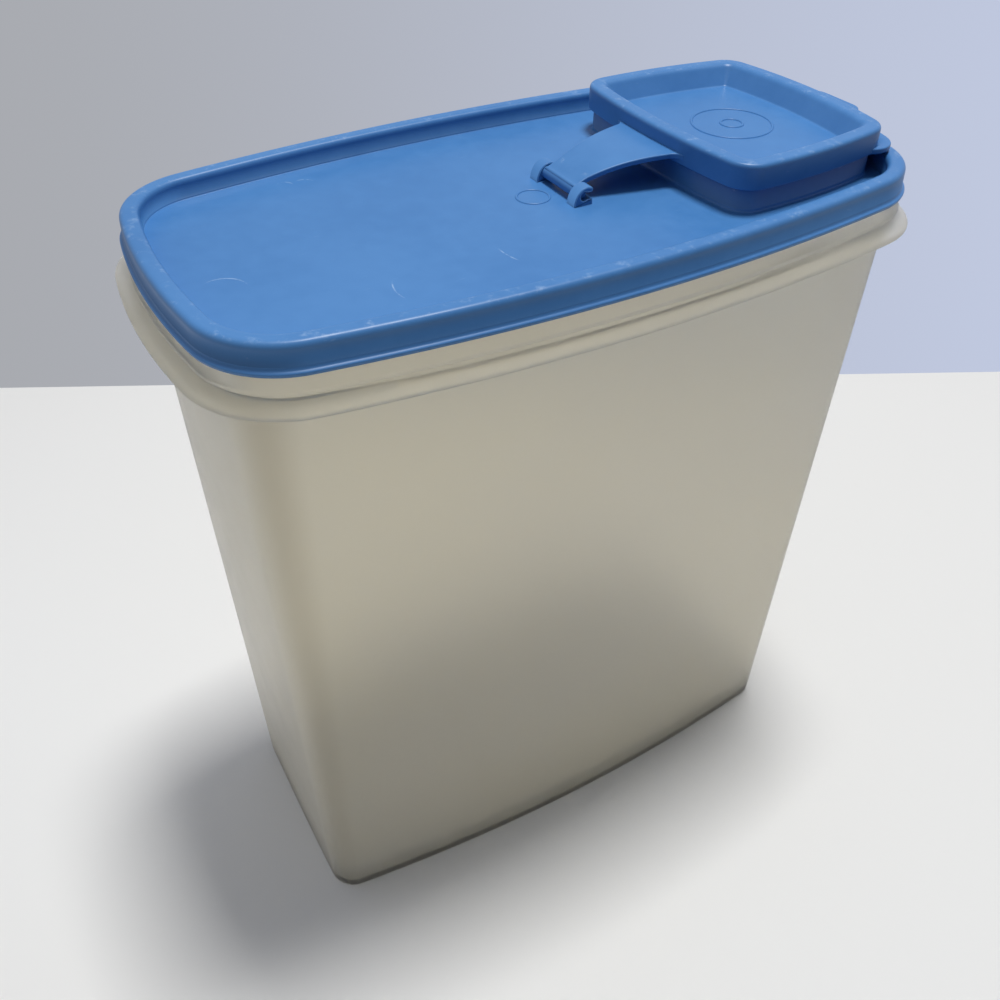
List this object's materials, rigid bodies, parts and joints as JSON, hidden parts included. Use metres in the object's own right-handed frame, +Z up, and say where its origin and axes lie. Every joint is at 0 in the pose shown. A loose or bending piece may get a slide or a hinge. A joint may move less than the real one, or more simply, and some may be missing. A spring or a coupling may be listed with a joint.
{
  "type": "cereal container with flip spout",
  "caption": "Tall tapered tub with bowed walls for dry food, a press-on lid with a raised spout neck, and a flip cap that swings on a snap hinge and has a thumb tab at the pouring end.",
  "frame": {"origin": "on the ground under the middle of the tub", "axes": "+X towards the pouring end, +Z up, +Y across the container"},
  "size_m": [0.2515, 0.1362, 0.2713],
  "materials": {
    "milky_plastic": "satin, milky and slightly translucent",
    "blue_plastic": "satin, a little worn"
  },
  "bodies": {
    "tub": {"tub": "milky_plastic"},
    "lid": {"lid": "blue_plastic"},
    "flip_cap": {"flip_cap": "blue_plastic"}
  },
  "joints": [
    {"name": "lid_lift", "type": "slide", "parent": "tub", "child": "lid", "axis": [0, 0, 1], "range_m": [0, 0.12]},
    {"name": "cap_flip", "type": "hinge", "parent": "lid", "child": "flip_cap", "pos_m": [0.0111, 0, 0.2585], "axis": [0, -1, 0], "range_deg": [0, 150]}
  ]
}
